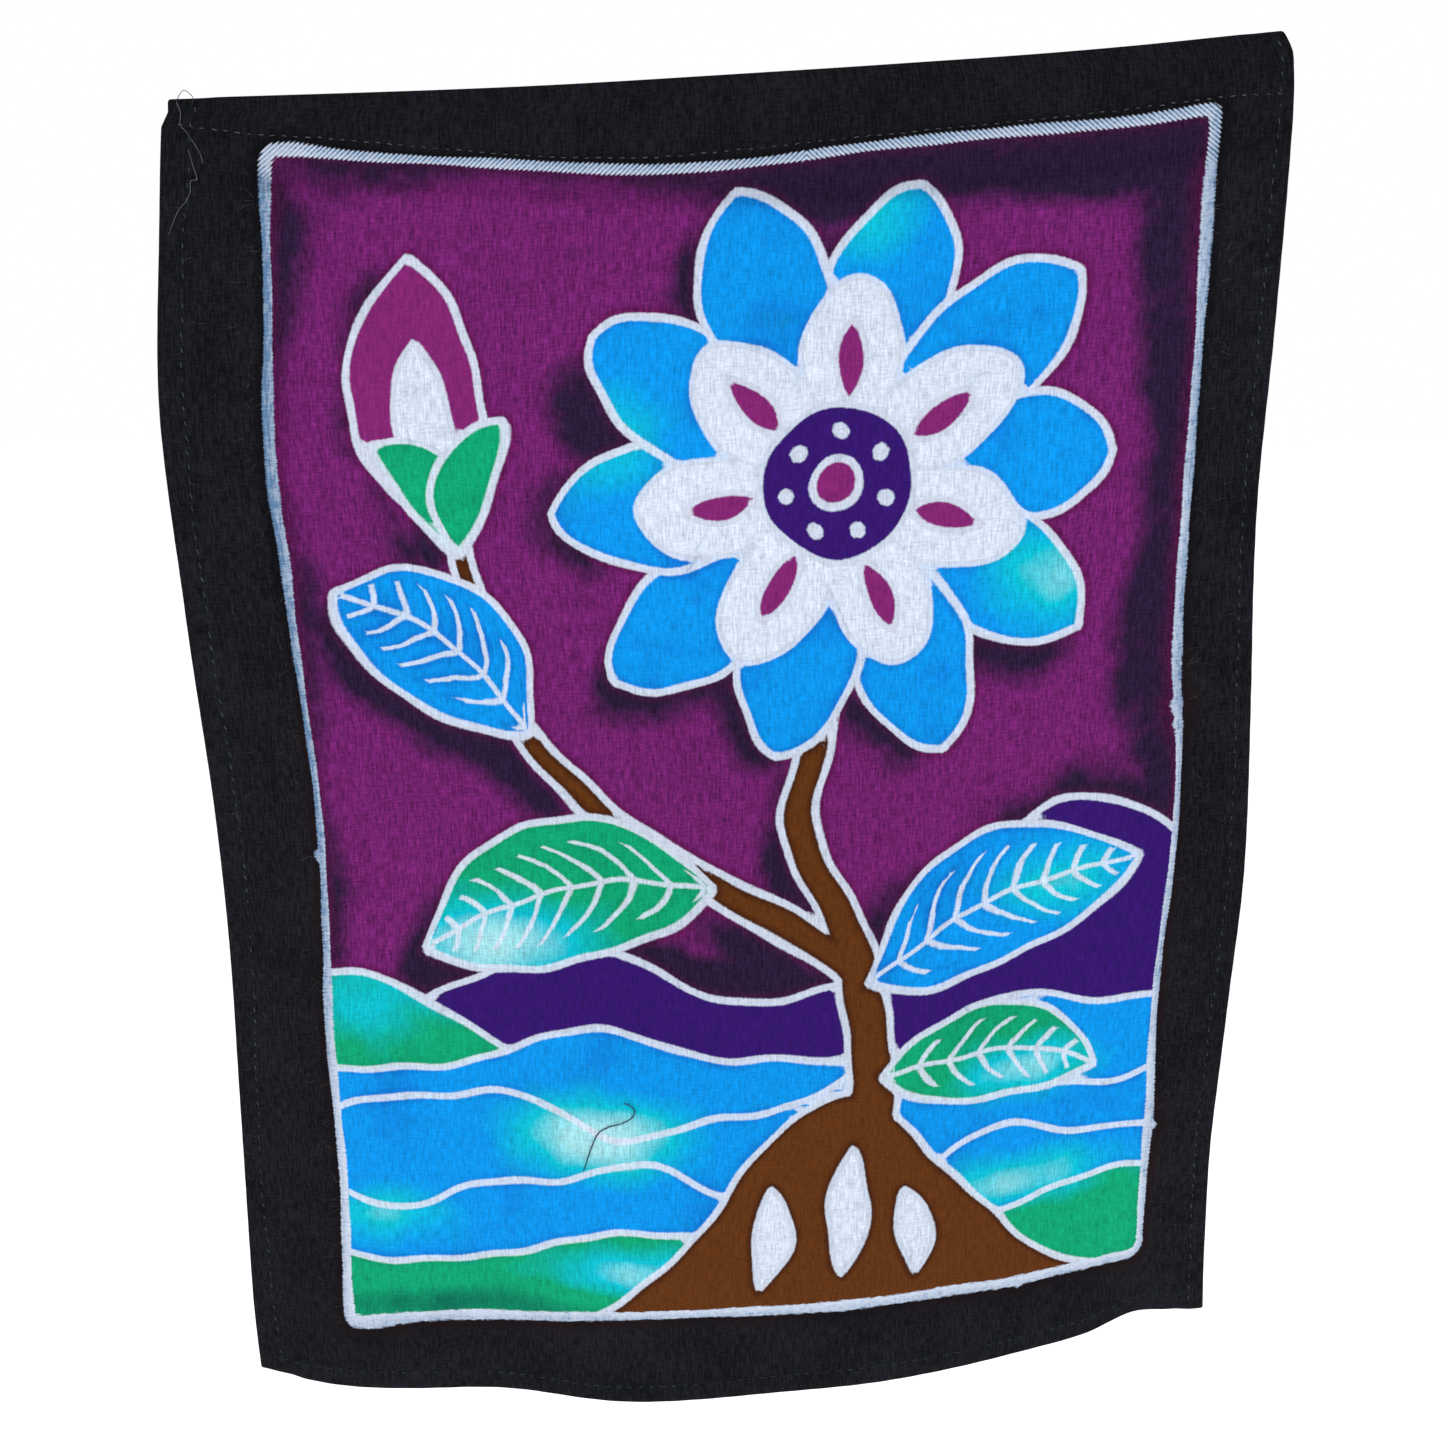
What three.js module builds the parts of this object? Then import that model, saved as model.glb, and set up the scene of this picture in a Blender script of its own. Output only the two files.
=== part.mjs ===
// Batik wall hanging: one rectangular cotton cloth, hemmed on all four sides, as it hangs from its top edge.
//
// Millimetres, +Z up. The picture side faces -Y, so +X is to the right of someone who looks at it.
// The origin is the middle of the top edge.
//
// The cloth is one closed solid. It is worked out on a grid that runs across and down the cloth:
// four bowed sides give each grid point its x and z, and a few soft folds give it its y.

import * as THREE from 'three';

// The cloth as sewn
const WIDTH = 280;
const DROP = 356;
const LEFT_HEM = 8;
const RIGHT_HEM = 6;
const BOTTOM_HEM = 6;
const CLOTH_THICKNESS = 1.2;
const HEM_THICKNESS = 2.2;      // the hems are turned to the back, so only the back steps out
const HEM_STEP = 1.2;           // distance over which a hem's extra layers end

// The top hem is turned down unevenly: across is a fraction of the width, deep is in millimetres.
const TOP_HEM = [
  { across: 0.00, deep: 21.0 },
  { across: 0.12, deep: 22.2 },
  { across: 0.28, deep: 25.2 },
  { across: 0.42, deep: 29.2 },
  { across: 0.58, deep: 31.0 },
  { across: 0.80, deep: 29.5 },
  { across: 1.00, deep: 27.0 },
];
const CORNER_REACH = 6.4;       // how far down the shape of the two top corners reaches

// Where the corners hang: the cloth is pulled out of square, so its right side hangs higher.
const CORNERS = {
  topLeft: { x: -140, z: -5.8 },
  topRight: { x: 139, z: 10.2 },
  bottomLeft: { x: -139.5, z: -364.3 },
  bottomRight: { x: 140.5, z: -345.3 },
};

// How far each side bows outwards from the straight line between its corners.
// along is the fraction of the way from the left or top corner, out is in millimetres.
const TOP_BOW = [
  { along: 0.00, out: 0.0 },
  { along: 0.17, out: -1.3 },
  { along: 0.35, out: -2.3 },
  { along: 0.70, out: -2.2 },
  { along: 0.86, out: -1.5 },
  { along: 1.00, out: 0.0 },
];
const BOTTOM_BOW = [
  { along: 0.00, out: 0.0 },
  { along: 0.08, out: 5.6 },
  { along: 0.16, out: 7.2 },
  { along: 0.29, out: 7.3 },
  { along: 0.40, out: 9.3 },
  { along: 0.53, out: 10.4 },
  { along: 0.66, out: 12.0 },
  { along: 0.77, out: 10.9 },
  { along: 0.88, out: 7.0 },
  { along: 0.94, out: 2.8 },
  { along: 1.00, out: 0.2 },
];
const LEFT_BOW = [
  { along: 0.00, out: 0.0 },
  { along: 0.010, out: 0.2 },   // the turned-down top ends a little short of the side
  { along: 0.018, out: 1.9 },
  { along: 0.10, out: 3.5 },
  { along: 0.22, out: 4.9 },
  { along: 0.35, out: 2.3 },
  { along: 0.48, out: -0.3 },
  { along: 0.56, out: -0.6 },
  { along: 0.71, out: 0.2 },
  { along: 0.93, out: 0.8 },
  { along: 1.00, out: 0.0 },
];
const RIGHT_BOW = [
  { along: 0.00, out: -2.6 },   // the corner is folded in and round
  { along: 0.017, out: 0.2 },
  { along: 0.08, out: 1.1 },
  { along: 0.20, out: 0.3 },
  { along: 0.33, out: -1.0 },
  { along: 0.47, out: 0.4 },
  { along: 0.60, out: 0.3 },
  { along: 0.72, out: -1.8 },
  { along: 0.83, out: -3.3 },
  { along: 0.93, out: -1.4 },
  { along: 1.00, out: 0.0 },
];

// Soft folds, each a rounded ridge or trough that runs down the cloth. In millimetres: forward is its height
// towards the viewer (a trough is negative), x and lean place its crest line (x + lean * z), and width is its
// half width. It starts at the height z given and grows over the next stretch. It fades out over the last
// stretch before it ends, or runs off the bottom edge where no end is given.
const FOLDS = {
  belly: { forward: 15, x: -18, width: 80, starts: -108, grows: 200 },
  leftCurl: { forward: 11, x: -140, width: 30, starts: -3, grows: 85, ends: -258, fades: 120 },
  rightCurl: { forward: 8, x: 140, width: 28, starts: -128, grows: 90, ends: -343, fades: 80 },
  leftTrough: { forward: -3, x: -70, width: 24, starts: -148, grows: 130 },
  rightTrough: { forward: -2.5, x: 92, lean: -0.02, width: 26, starts: -138, grows: 130 },
  topSwag: { forward: 4, x: 5, width: 70, starts: -8, grows: 60, ends: -168, fades: 90 },
  leftStay: { forward: 1.8, x: -136, lean: -0.62, width: 9, starts: -4, grows: 30, ends: -148, fades: 90 },
  rightStay: { forward: 1.8, x: 134, lean: 0.55, width: 9, starts: -4, grows: 30, ends: -138, fades: 90 },
  hemFlute: { forward: -6, x: 122, width: 13, starts: -283, grows: 70 },
};

const CELL = 9.5;               // grid spacing away from the hems

const BLACK_COTTON = new THREE.MeshStandardMaterial({ color: 0x15151a, roughness: 0.9, metalness: 0 });

// A table's value at a place, on a smooth curve through its rows. The curve's slope at a row is that of the
// straight line between the rows on either side of it.
function readTable(rows, place, value, at) {
  const last = rows.length - 1;
  let i = 0;
  while (i < last - 1 && at > rows[i + 1][place]) i += 1;
  const slope = (k) => {
    const before = rows[Math.max(k - 1, 0)];
    const after = rows[Math.min(k + 1, last)];
    return (after[value] - before[value]) / (after[place] - before[place]);
  };
  const span = rows[i + 1][place] - rows[i][place];
  const t = THREE.MathUtils.clamp((at - rows[i][place]) / span, 0, 1);
  const t2 = t * t;
  const t3 = t2 * t;
  return (2 * t3 - 3 * t2 + 1) * rows[i][value]
    + (t3 - 2 * t2 + t) * span * slope(i)
    + (3 * t2 - 2 * t3) * rows[i + 1][value]
    + (t3 - t2) * span * slope(i + 1);
}

// A point on one side of the cloth, in x and z. The side bows to the left of the way from start to end where
// turn is 1, and to the right where it is -1.
function sidePoint(start, end, bow, turn, along) {
  const dx = end.x - start.x;
  const dz = end.z - start.z;
  const out = (turn * readTable(bow, 'along', 'out', along)) / Math.hypot(dx, dz);
  return { x: start.x + dx * along - dz * out, z: start.z + dz * along + dx * out };
}

// How far one fold lifts the cloth towards the viewer at x and z.
function foldForward(fold, x, z) {
  const { forward, lean = 0, width, starts, grows, ends = -Infinity, fades = 1 } = fold;
  const ease = THREE.MathUtils.smoothstep;
  const across = (x - fold.x - lean * z) / width;
  const begun = ease(starts - z, 0, grows);
  const over = ease(ends + fades - z, 0, fades);
  return forward * Math.exp(-across * across) * begun * (1 - over);
}

function forwardAt(x, z) {
  return Object.values(FOLDS).reduce((sum, fold) => sum + foldForward(fold, x, z), 0);
}

// The hung cloth's middle surface. Its four sides are blended (a Coons patch): the left-right blend plus the
// top-bottom blend, less the blend of the corners that both contain.
function hungPoint(across, down) {
  const { topLeft, topRight, bottomLeft, bottomRight } = CORNERS;
  const left = sidePoint(topLeft, bottomLeft, LEFT_BOW, -1, down);
  const right = sidePoint(topRight, bottomRight, RIGHT_BOW, 1, down);
  const top = sidePoint(topLeft, topRight, TOP_BOW, 1, across);
  const bottom = sidePoint(bottomLeft, bottomRight, BOTTOM_BOW, -1, across);
  const { lerp } = THREE.MathUtils;
  const blend = (axis) => {
    const sides = lerp(left[axis], right[axis], across) + lerp(top[axis], bottom[axis], down);
    const upper = lerp(topLeft[axis], topRight[axis], across);
    const lower = lerp(bottomLeft[axis], bottomRight[axis], across);
    return sides - lerp(upper, lower, down);
  };
  const x = blend('x');
  const z = blend('z');
  return new THREE.Vector3(x, -forwardAt(x, z), z);
}

// Even grid lines from one distance to another, both included, about a cell apart.
function evenLines(from, to) {
  const cells = Math.round((to - from) / CELL);
  return Array.from({ length: cells + 1 }, (_, i) => from + ((to - from) * i) / cells);
}

// Grid lines across the cloth: the edge, its hem and the step off it, then even cells to the other edge.
function columnLines() {
  const inner = evenLines(LEFT_HEM + HEM_STEP, WIDTH - RIGHT_HEM - HEM_STEP);
  return [0, LEFT_HEM, ...inner, WIDTH - RIGHT_HEM, WIDTH];
}

// Grid lines down the cloth where the top hem is this deep. Every hem depth gives as many lines.
function rowLines(topHem) {
  const bottom = DROP - BOTTOM_HEM - HEM_STEP;
  const usual = evenLines(TOP_HEM[0].deep, bottom).length - 1;
  const inner = Array.from({ length: usual + 1 }, (_, i) => (
    THREE.MathUtils.lerp(topHem + HEM_STEP, bottom, i / usual)
  ));
  return [0, CORNER_REACH, topHem, ...inner, DROP - BOTTOM_HEM, DROP];
}

// One closed solid between a front and a back grid of points, joined round their rim.
// frontPoint and backPoint give a point for each column and row.
function sheetSolid(columns, rows, frontPoint, backPoint) {
  const points = [];
  [frontPoint, backPoint].forEach((pointAt) => {
    for (let row = 0; row < rows; row += 1) {
      for (let column = 0; column < columns; column += 1) points.push(pointAt(column, row));
    }
  });
  const front = (column, row) => row * columns + column;
  const back = (column, row) => columns * rows + front(column, row);
  const triangles = [];
  const quad = (a, b, c, d) => triangles.push(a, b, c, a, c, d);
  const lastColumn = columns - 1;
  const lastRow = rows - 1;
  for (let row = 0; row < lastRow; row += 1) {
    for (let column = 0; column < lastColumn; column += 1) {
      quad(front(column, row), front(column, row + 1), front(column + 1, row + 1), front(column + 1, row));
      quad(back(column, row), back(column + 1, row), back(column + 1, row + 1), back(column, row + 1));
    }
  }
  const rim = (columnA, rowA, columnB, rowB) => {
    quad(front(columnA, rowA), front(columnB, rowB), back(columnB, rowB), back(columnA, rowA));
  };
  for (let column = 0; column < lastColumn; column += 1) {
    rim(column, 0, column + 1, 0);
    rim(column + 1, lastRow, column, lastRow);
  }
  for (let row = 0; row < lastRow; row += 1) {
    rim(0, row + 1, 0, row);
    rim(lastColumn, row, lastColumn, row + 1);
  }
  const geometry = new THREE.BufferGeometry().setFromPoints(points);
  geometry.setIndex(triangles);
  geometry.computeVertexNormals();
  return geometry;
}

// The hems are where the back steps out: within a line of the edges, or two lines at the top.
function batikCloth() {
  const columns = columnLines().map((distance) => distance / WIDTH);
  const rows = columns.map((across) => rowLines(readTable(TOP_HEM, 'across', 'deep', across)));
  const columnCount = columns.length;
  const rowCount = rows[0].length;
  const clothPoint = (column, row, towardsBack) => {
    const point = hungPoint(columns[column], rows[column][row] / DROP);
    point.y += towardsBack;
    return point;
  };
  const frontPoint = (column, row) => clothPoint(column, row, -CLOTH_THICKNESS / 2);
  const backPoint = (column, row) => {
    const linesIn = Math.min(column, columnCount - 1 - column, row - 1, rowCount - 1 - row);
    const thickness = linesIn < 2 ? HEM_THICKNESS : CLOTH_THICKNESS;
    return clothPoint(column, row, thickness - CLOTH_THICKNESS / 2);
  };
  const mesh = new THREE.Mesh(sheetSolid(columnCount, rowCount, frontPoint, backPoint), BLACK_COTTON);
  mesh.name = 'batik_cloth';
  return mesh;
}

const wallHanging = new THREE.Group();
wallHanging.add(batikCloth());

export default wallHanging;
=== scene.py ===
"""Batik wall hanging: a hemmed cotton cloth with a wax-resist picture, hanging loose from its top edge.

Tables are in millimetres. A place on the cloth is given flat, as the hemmed cloth measures: across from its
left edge and down from its top edge. The hung shape comes from the same sides and folds as the solid's.
"""
import math

import bpy
import numpy as np
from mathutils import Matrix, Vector


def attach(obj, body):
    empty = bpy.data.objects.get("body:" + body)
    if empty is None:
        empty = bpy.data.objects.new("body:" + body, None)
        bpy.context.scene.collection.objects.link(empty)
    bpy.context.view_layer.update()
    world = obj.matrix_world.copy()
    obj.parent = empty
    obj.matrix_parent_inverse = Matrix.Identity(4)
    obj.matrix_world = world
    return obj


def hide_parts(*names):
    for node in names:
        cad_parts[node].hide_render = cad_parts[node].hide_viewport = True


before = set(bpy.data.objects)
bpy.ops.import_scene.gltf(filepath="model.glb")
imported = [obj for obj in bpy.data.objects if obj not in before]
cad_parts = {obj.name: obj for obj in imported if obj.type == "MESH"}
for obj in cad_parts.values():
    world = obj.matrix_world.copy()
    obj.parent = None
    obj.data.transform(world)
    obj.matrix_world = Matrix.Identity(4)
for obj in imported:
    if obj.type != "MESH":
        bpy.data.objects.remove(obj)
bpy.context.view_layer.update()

MM = 0.001

# The cloth as sewn
WIDTH = 280.0
DROP = 356.0
CLOTH = 0.30            # the cotton's thickness
LAYER = 0.34            # from one layer to the next where the cloth lies folded
LEFT_HEM = 8.0
RIGHT_HEM = 6.0
BOTTOM_HEM = 6.0
HEM_TURN = 4.5          # raw edge turned under inside the side and bottom hems
FLAP_TURN = 8.0         # the same inside the top hem
CELL = 1.76             # mesh spacing

# The top hem's depth on the back, by the fraction of the width
TOP_HEM = ((0.00, 21.0), (0.12, 22.2), (0.28, 25.2), (0.42, 29.2), (0.58, 31.0), (0.80, 29.5), (1.00, 27.0))

# How far below the top edge its line of stitches runs, by the fraction of the width
TOP_SEAM = (
    (0.00, 5.4), (0.03, 6.8), (0.075, 8.7), (0.15, 10.4), (0.23, 13.0), (0.32, 16.0), (0.39, 17.5),
    (0.45, 18.0), (0.52, 17.3), (0.61, 16.2), (0.74, 15.0), (0.86, 14.2), (0.94, 13.7), (1.00, 14.5),
)

# How far in from their edges the side seams run, by the distance down
LEFT_SEAM = (
    (0, 6.6), (17, 7.3), (33, 6.0), (80, 6.2), (110, 5.5), (136, 5.6), (220, 6.1), (290, 4.8), (356, 6.8),
)
RIGHT_SEAM = ((0, 2.4), (12, 3.0), (30, 3.8), (120, 3.6), (230, 4.2), (356, 3.8))
BOTTOM_SEAM = 5.2

# Where the corners hang, in x and z
TOP_LEFT, TOP_RIGHT = (-140.0, -5.8), (139.0, 10.2)
BOTTOM_LEFT, BOTTOM_RIGHT = (-139.5, -364.3), (140.5, -345.3)

# How far each side stands out from the straight line between its corners, by the fraction of the way along
TOP_BOW = ((0.00, 0.0), (0.17, -1.3), (0.35, -2.3), (0.70, -2.2), (0.86, -1.5), (1.00, 0.0))
BOTTOM_BOW = (
    (0.00, 0.0), (0.08, 5.6), (0.16, 7.2), (0.29, 7.3), (0.40, 9.3), (0.53, 10.4),
    (0.66, 12.0), (0.77, 10.9), (0.88, 7.0), (0.94, 2.8), (1.00, 0.2),
)
LEFT_BOW = (
    (0.00, 0.0), (0.010, 0.2), (0.018, 1.9), (0.10, 3.5), (0.22, 4.9), (0.35, 2.3),
    (0.48, -0.3), (0.56, -0.6), (0.71, 0.2), (0.93, 0.8), (1.00, 0.0),
)
RIGHT_BOW = (
    (0.00, -2.6), (0.017, 0.2), (0.08, 1.1), (0.20, 0.3), (0.33, -1.0), (0.47, 0.4),
    (0.60, 0.3), (0.72, -1.8), (0.83, -3.3), (0.93, -1.4), (1.00, 0.0),
)

# Soft folds: height towards the viewer, the crest line's x and its lean, half width, the height z where it
# starts, the stretch over which it grows, and where it ends, with the stretch over which it fades
FOLDS = (
    dict(forward=15.0, x=-18, width=80, starts=-108, grows=200),
    dict(forward=11.0, x=-140, width=30, starts=-3, grows=85, ends=-258, fades=120),
    dict(forward=8.0, x=140, width=28, starts=-128, grows=90, ends=-343, fades=80),
    dict(forward=-3.0, x=-70, width=24, starts=-148, grows=130),
    dict(forward=-2.5, x=92, lean=-0.02, width=26, starts=-138, grows=130),
    dict(forward=4.0, x=5, width=70, starts=-8, grows=60, ends=-168, fades=90),
    dict(forward=1.8, x=-136, lean=-0.62, width=9, starts=-4, grows=30, ends=-148, fades=90),
    dict(forward=1.8, x=134, lean=0.55, width=9, starts=-4, grows=30, ends=-138, fades=90),
    dict(forward=-6.0, x=122, width=13, starts=-283, grows=70),
)

# The plain white wax line round the picture. A row is a distance along a side, the line's place there, and
# half its width
FRAME_LEFT = (
    (17, 25.9, 1.5), (36, 26.2, 1.15), (60, 26.4, 1.1), (80, 25.8, 1.4), (98, 25.5, 1.45),
    (112, 26.0, 1.3), (128, 26.0, 1.0), (155, 26.4, 0.87), (185, 27.0, 0.85), (222, 26.9, 1.15),
    (242, 26.7, 1.25), (262, 27.6, 1.25), (290, 29.0, 1.2), (325, 28.2, 1.5),
)
FRAME_RIGHT = (
    (22, 260.8, 1.5), (36, 260.0, 1.5), (48, 260.5, 1.7), (70, 261.1, 1.15), (112, 261.4, 1.25),
    (157, 260.1, 1.3), (175, 261.1, 0.9), (200, 261.1, 0.8), (236, 260.1, 0.85), (265, 260.9, 1.0),
    (286, 262.3, 1.3), (323, 261.9, 0.95),
)
FRAME_TOP = (
    (33, 12.7, 1.7), (50, 14.8, 1.0), (80, 17.3, 1.1), (120, 20.8, 1.3), (148, 20.5, 1.0),
    (172, 18.7, 1.15), (210, 17.2, 1.25), (242, 17.1, 1.3), (258, 16.3, 1.4),
)
FRAME_BOTTOM = (
    (33, 334.5, 2.3), (48, 332.8, 1.7), (78, 332.0, 1.6), (107, 328.9, 1.35), (133, 328.4, 1.3),
    (160, 329.8, 1.5), (200, 330.5, 1.55), (223, 332.6, 1.6), (248, 332.9, 1.45), (259, 334.9, 1.7),
)
FRAME_CORNERS = ((2.6, 0.8), (2.0, 4.0))    # its corners' radii: top left and right, bottom left and right

# Where the wax dripped or a stroke ended on that line: place across and down, and radius
DRIPS = (
    (25.6, 193.0, 1.1), (260.2, 167.5, 1.9), (260.6, 173.0, 1.6), (263.2, 290.6, 1.6), (225.0, 333.0, 2.0),
)
WAX_LINE = 1.05         # how far the wax spreads to each side of a shape's edge

# Small relief of the front
TOP_HEM_RISE, HEM_RISE = 0.30, 0.26     # how far the layers of the hems stand forward
SLACK = 0.30                            # height of the faint waves all over the cloth


def srgb(red, green, blue):
    """Linear colour of an 8-bit screen colour: the usual screen curve, taken back."""
    def linear(value):
        value /= 255
        return value / 12.92 if value <= 0.04045 else ((value + 0.055) / 1.055) ** 2.4

    return linear(red), linear(green), linear(blue), 1.0


def ease(t):
    """Smooth step: 3t² - 2t³, with t held between 0 and 1."""
    t = np.clip(t, 0, 1)
    return t * t * (3 - 2 * t)


def read_table(rows, at):
    """Value at a place, on cubic pieces through the rows. A row's slope is that of the line between its two
    neighbours."""
    place, value = np.array(rows, float).T
    index = np.arange(len(place))
    before = np.maximum(index - 1, 0)
    after = np.minimum(index + 1, len(place) - 1)
    slope = (value[after] - value[before]) / (place[after] - place[before])
    i = np.clip(np.searchsorted(place, at) - 1, 0, len(place) - 2)
    span = place[i + 1] - place[i]
    t = np.clip((at - place[i]) / span, 0, 1)
    start = (2 * t**3 - 3 * t**2 + 1) * value[i] + (t**3 - 2 * t**2 + t) * span * slope[i]
    return start + (3 * t**2 - 2 * t**3) * value[i + 1] + (t**3 - t**2) * span * slope[i + 1]


def smooth_line(points, steps):
    """Smooth line through points, on the same cubic pieces as the tables, in so many steps from each point
    to the next: how far along each place is, counted in points, and the places."""
    at = np.arange(len(points))
    fine = np.linspace(0, at[-1], steps * at[-1] + 1)
    columns = np.array(points, float).T
    return fine, np.stack([read_table(np.stack([at, values], -1), fine) for values in columns], -1)


def side_point(start, end, bow, turn, along):
    """Point on a side: the straight way from start to end, plus its bow at right angles, to the left for
    turn 1."""
    start, end = np.array(start), np.array(end)
    way = end - start
    outwards = np.array([-way[1], way[0]]) * turn / np.hypot(*way)
    return start + along[..., None] * way + read_table(bow, along)[..., None] * outwards


def forward_at(x, z):
    """How far the cloth stands towards the viewer: a sum of Gaussian ridges across x, each faded in and out
    in z."""
    total = np.zeros_like(x)
    for fold in FOLDS:
        across = (x - fold["x"] - fold.get("lean", 0) * z) / fold["width"]
        begun = ease((fold["starts"] - z) / fold["grows"])
        over = ease((fold["ends"] + fold["fades"] - z) / fold["fades"]) if "ends" in fold else 0
        total += fold["forward"] * np.exp(-across**2) * begun * (1 - over)
    return total


def hung(across, down):
    """The hung cloth's middle surface, in mm: a Coons patch of its four sides gives x and z, and the folds
    give y."""
    left = side_point(TOP_LEFT, BOTTOM_LEFT, LEFT_BOW, -1, down)
    right = side_point(TOP_RIGHT, BOTTOM_RIGHT, RIGHT_BOW, 1, down)
    top = side_point(TOP_LEFT, TOP_RIGHT, TOP_BOW, 1, across)
    bottom = side_point(BOTTOM_LEFT, BOTTOM_RIGHT, BOTTOM_BOW, -1, across)
    s, t = across[..., None], down[..., None]
    upper = (1 - s) * np.array(TOP_LEFT) + s * np.array(TOP_RIGHT)
    lower = (1 - s) * np.array(BOTTOM_LEFT) + s * np.array(BOTTOM_RIGHT)
    flat = (1 - s) * left + s * right + (1 - t) * (top - upper) + t * (bottom - lower)
    x, z = flat[..., 0], flat[..., 1]
    return np.stack([x, -forward_at(x, z), z], -1)


def on_left(x):
    """Whether a distance across is on the left half of the cloth."""
    return x < WIDTH / 2


def side_hem(x):
    """Width of the side hem on this half of the cloth."""
    return np.where(on_left(x), LEFT_HEM, RIGHT_HEM)


def relief(p, q):
    """Small shape of the front: the layers of the hems stand forward, the cloth puckers along its stitches,
    and it waves a little all over.

    The puckers slant to the seams: a sine along each seam, shifted by the distance from it, that dies away
    as a Gaussian of that distance.
    """
    def puckered(height, reach, away, phase):
        return height * np.exp(-(away / reach) ** 2) * np.sin(phase)

    edge = np.minimum(p, WIDTH - p)
    top_depth = read_table(TOP_HEM, p / WIDTH)
    hems = TOP_HEM_RISE * (1 - ease((q - top_depth + 1) / 2.2))
    hems = np.maximum(hems, HEM_RISE * (1 - ease((edge - side_hem(p)) / 1.6)))
    hems = np.maximum(hems, HEM_RISE * (1 - ease((DROP - q - BOTTOM_HEM) / 1.6)))
    top = q - read_table(TOP_SEAM, p / WIDTH)
    side = edge - np.where(on_left(p), read_table(LEFT_SEAM, q), read_table(RIGHT_SEAM, q))
    bottom = DROP - q - BOTTOM_SEAM
    puckers = puckered(0.20, 5.0, top, 0.72 * p + 0.2 * top + 1.4 * np.sin(p / 23))
    puckers += puckered(0.17, 4.5, side, 0.68 * q + 0.5 * side + 1.6 * np.sin(q / 31))
    puckers += puckered(0.16, 4.5, bottom, 0.70 * p + 0.3 * bottom + 1.5 * np.sin(p / 27))
    waves = SLACK * np.sin(p / 13 + 0.9 * np.sin(q / 37)) * np.sin(q / 17 + 1.1 * np.sin(p / 29))
    return hems + puckers + waves


def cloth_point(p, q, behind):
    """Point in metres at a flat place: the hung surface, moved back along its normal (the cross product of
    its two slopes), less the relief of the front."""
    across, down = p / WIDTH, q / DROP
    step = 2e-3
    centre = hung(across, down)
    slope_across = hung(across + step, down) - hung(across - step, down)
    slope_down = hung(across, down + step) - hung(across, down - step)
    normal = np.cross(slope_across, slope_down)
    normal /= np.linalg.norm(normal, axis=-1, keepdims=True)
    return (centre + normal * (behind - relief(p, q))[..., None]) * MM


def hem_radius(thickness):
    """Radius of a hem's outer fold, where the cloth folded over is already this thick from its side hem."""
    return LAYER + 1.5 * thickness


def side_stack(x):
    """Thickness of the side hem at a distance across: three layers, fading out past the hem."""
    edge = np.minimum(x, WIDTH - x)
    return 2 * LAYER * (1 - ease((edge - side_hem(x) - 0.3) / 5))


def hem_lines(depth, thickness, turn, steps):
    """Distances into the cloth at which its lines of points lie, from the raw edge to where the outer fold
    ends.

    The raw edge's strip, the inner fold, the hem's width and the outer fold each get even steps. Distances
    are along the cloth: a fold's half circle is pi times its radius long.
    """
    outer = hem_radius(thickness)
    inner = thickness + LAYER / 2
    width = depth - inner - outer
    lengths = np.broadcast_arrays(outer, -np.pi * outer, -width, -np.pi * inner, -turn)
    marks = np.cumsum(lengths, axis=0)[::-1]
    stretches = [
        marks[i] + (marks[i + 1] - marks[i]) * (np.arange(count) / count)[:, None]
        for i, count in enumerate(steps)
    ]
    return np.concatenate(stretches)


def folded(into, depth, lift, thickness):
    """Where a hem's folds put cloth that lies `into` the cloth from its edge: its distance from the edge,
    how far behind the front layer it is, and how far along the hem's outer layer it has come.

    The cloth bends back round a half circle, runs in to the hem's depth, and bends forward round a smaller
    one.
    """
    outer = hem_radius(thickness)
    inner = thickness + LAYER / 2
    width = depth - inner - outer
    past = outer - into
    bend = np.clip(past / outer, 0, np.pi)
    run = np.clip(past - np.pi * outer, 0, width)
    turn = np.clip((past - np.pi * outer - width) / inner, 0, np.pi)
    strip = np.maximum(past - np.pi * (outer + inner) - width, 0)
    bends = (inner - lift) * np.sin(turn)
    distance = np.maximum(into, outer) - (outer - lift) * np.sin(bend) + run + bends - strip
    behind = outer - (outer - lift) * np.cos(bend) + (inner - lift) * (np.cos(turn) - 1)
    return distance, behind, run


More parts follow.
